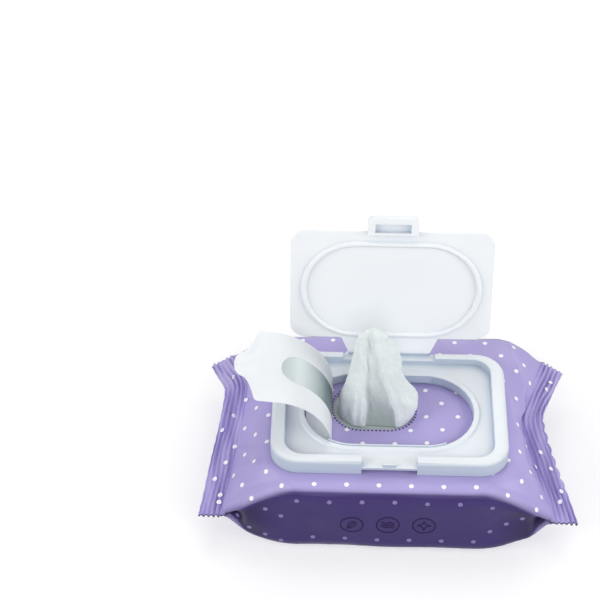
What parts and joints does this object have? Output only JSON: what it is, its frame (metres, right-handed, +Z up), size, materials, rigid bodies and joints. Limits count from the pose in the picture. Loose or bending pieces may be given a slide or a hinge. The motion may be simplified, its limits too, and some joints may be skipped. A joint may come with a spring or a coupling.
{
  "type": "wet wipes pack",
  "caption": "Opened film flow-wrap of wet wipes with a hinged flip lid, a peeled seal label and a wipe drawn up through the dispensing hole.",
  "frame": {"origin": "centre of the pack's flat underside", "axes": "+X along the pack's length from seal to seal, -Y towards the front where the lid's latch is, +Z up"},
  "size_m": [0.179, 0.108, 0.1252],
  "materials": {
    "film": "satin printed film, lavender with small white dots",
    "wipe": "moist non-woven cloth",
    "lid_plastic": "fine matt moulded white",
    "label": "satin white film label"
  },
  "bodies": {
    "pack": {"film_wrapper": "film", "wipe_stack": "wipe", "pulled_wipe": "wipe", "lid_base": "lid_plastic", "seal_label": "label"},
    "lid": {"flip_lid": "lid_plastic"}
  },
  "joints": [
    {"name": "lid_hinge", "type": "hinge", "parent": "pack", "child": "lid", "pos_m": [0, 0.0311, 0.0498], "axis": [-1, 0, 0], "range_deg": [-102, 60], "deforming": ["pulled_wipe", "seal_label"]}
  ]
}
